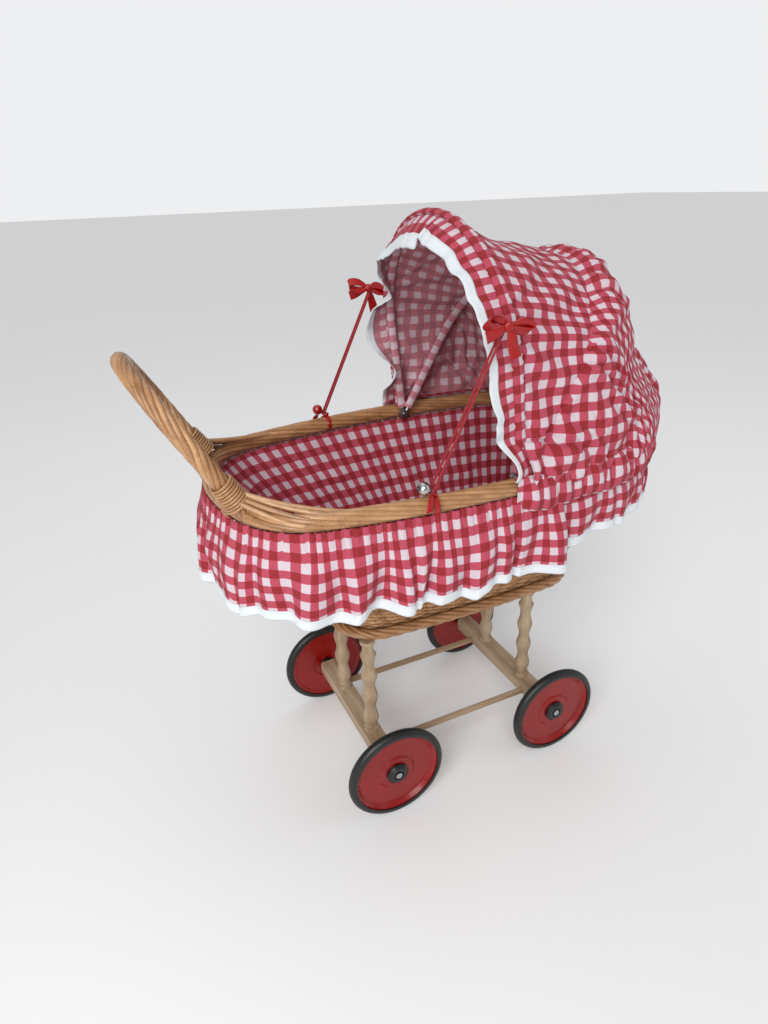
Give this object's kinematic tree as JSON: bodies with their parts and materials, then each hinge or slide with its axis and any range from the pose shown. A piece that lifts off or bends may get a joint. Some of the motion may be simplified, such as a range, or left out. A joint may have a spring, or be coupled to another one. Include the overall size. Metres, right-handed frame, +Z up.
{
  "type": "doll stroller",
  "caption": "Willow doll's pram: woven basket with arch handle on a turned wooden chassis with spinning wheels, checked cloth lining and skirt, and a hood that folds back on bent hoops.",
  "frame": {"origin": "on the floor, under the middle of the whole length and width", "axes": "+X the way the pram is pushed, from the handle towards the hood; +Y the pusher's left; +Z up"},
  "size_m": [0.6103, 0.322, 0.6504],
  "materials": {
    "turned_wood": "plain turned beech, unvarnished",
    "plywood": "plain plywood",
    "willow": "peeled willow with clear varnish",
    "cane": "plain cane",
    "tyre": "glossy black soft plastic",
    "red_plastic": "glossy red moulding",
    "black_plastic": "black moulding",
    "steel": "zinc plated",
    "bell_metal": "bright nickel",
    "red_bead": "glossy lacquered bead",
    "ribbon": "red satin ribbon",
    "elastic": "red covered elastic",
    "white_binding": "white bias binding",
    "gingham": "red and white checked cotton"
  },
  "bodies": {
    "pram": {"axle_screws": "steel", "axle_washers": "steel", "base_board": "plywood", "basket_wall": "willow", "bead": "red_bead", "bead_ribbon_tie": "ribbon", "bell": "bell_metal", "bell_ribbon_tie": "ribbon", "foot_border": "willow", "front_axle_beam": "turned_wood", "front_left_post": "turned_wood", "front_right_post": "turned_wood", "front_skirt": "gingham", "front_skirt_binding": "white_binding", "handle_arch": "willow", "hood_back": "gingham", "hood_hem": "gingham", "hoop_pivot_pins": "steel", "left_handle_tie": "willow", "left_handle_wrap": "willow", "left_side_rail": "turned_wood", "lining": "gingham", "post_foot_screws": "steel", "post_head_screws": "steel", "rear_axle_beam": "turned_wood", "rear_left_post": "turned_wood", "rear_right_post": "turned_wood", "rear_skirt": "gingham", "rear_skirt_binding": "white_binding", "right_handle_tie": "willow", "right_handle_wrap": "willow", "right_side_rail": "turned_wood", "rim_border": "willow"},
    "rear_left_wheel": {"rear_left_wheel_disc": "red_plastic", "rear_left_tyre": "tyre", "rear_left_hub": "black_plastic"},
    "rear_right_wheel": {"rear_right_wheel_disc": "red_plastic", "rear_right_tyre": "tyre", "rear_right_hub": "black_plastic"},
    "front_left_wheel": {"front_left_wheel_disc": "red_plastic", "front_left_tyre": "tyre", "front_left_hub": "black_plastic"},
    "front_right_wheel": {"front_right_wheel_disc": "red_plastic", "front_right_tyre": "tyre", "front_right_hub": "black_plastic"},
    "hood_rear": {"rear_hoop": "cane", "hood_cover": "gingham"},
    "hood_front": {"front_hoop": "cane", "hood_brim": "gingham", "brim_binding": "white_binding", "left_ribbon_bow": "ribbon", "right_ribbon_bow": "ribbon"},
    "left_loop": {"left_elastic_loop": "elastic"},
    "right_loop": {"right_elastic_loop": "elastic"}
  },
  "joints": [
    {"name": "rear_left_wheel_spin", "type": "hinge", "parent": "pram", "child": "rear_left_wheel", "pos_m": [-0.0945, 0.1134, 0.06], "axis": [0, 1, 0], "continuous": true},
    {"name": "rear_right_wheel_spin", "type": "hinge", "parent": "pram", "child": "rear_right_wheel", "pos_m": [-0.0945, -0.1134, 0.06], "axis": [0, 1, 0], "continuous": true},
    {"name": "front_left_wheel_spin", "type": "hinge", "parent": "pram", "child": "front_left_wheel", "pos_m": [0.1305, 0.1134, 0.06], "axis": [0, 1, 0], "continuous": true},
    {"name": "front_right_wheel_spin", "type": "hinge", "parent": "pram", "child": "front_right_wheel", "pos_m": [0.1305, -0.1134, 0.06], "axis": [0, 1, 0], "continuous": true},
    {"name": "hood_fold", "type": "hinge", "parent": "pram", "child": "hood_rear", "pos_m": [0.043, 0, 0.406], "axis": [0, 1, 0], "range_deg": [0, 36], "deforming": ["hood_back"]},
    {"name": "front_hoop_fold", "type": "hinge", "parent": "hood_rear", "child": "hood_front", "pos_m": [0.043, 0, 0.406], "axis": [0, 1, 0], "range_deg": [0, 26], "deforming": ["hood_cover"]},
    {"name": "left_loop_swing", "type": "hinge", "parent": "hood_front", "child": "left_loop", "pos_m": [0.009, 0.141, 0.563], "axis": [0, 1, 0], "range_deg": [-31.1, 0], "deforming": ["left_elastic_loop"]},
    {"name": "right_loop_swing", "type": "hinge", "parent": "hood_front", "child": "right_loop", "pos_m": [0.009, -0.141, 0.563], "axis": [0, 1, 0], "range_deg": [-31.1, 0], "deforming": ["right_elastic_loop"]}
  ],
  "couplings": [
    {"joint": "front_hoop_fold", "follows": "hood_fold", "ratio": 0.7222},
    {"joint": "left_loop_swing", "follows": "hood_fold", "ratio": -0.8611},
    {"joint": "right_loop_swing", "follows": "hood_fold", "ratio": -0.8611}
  ]
}
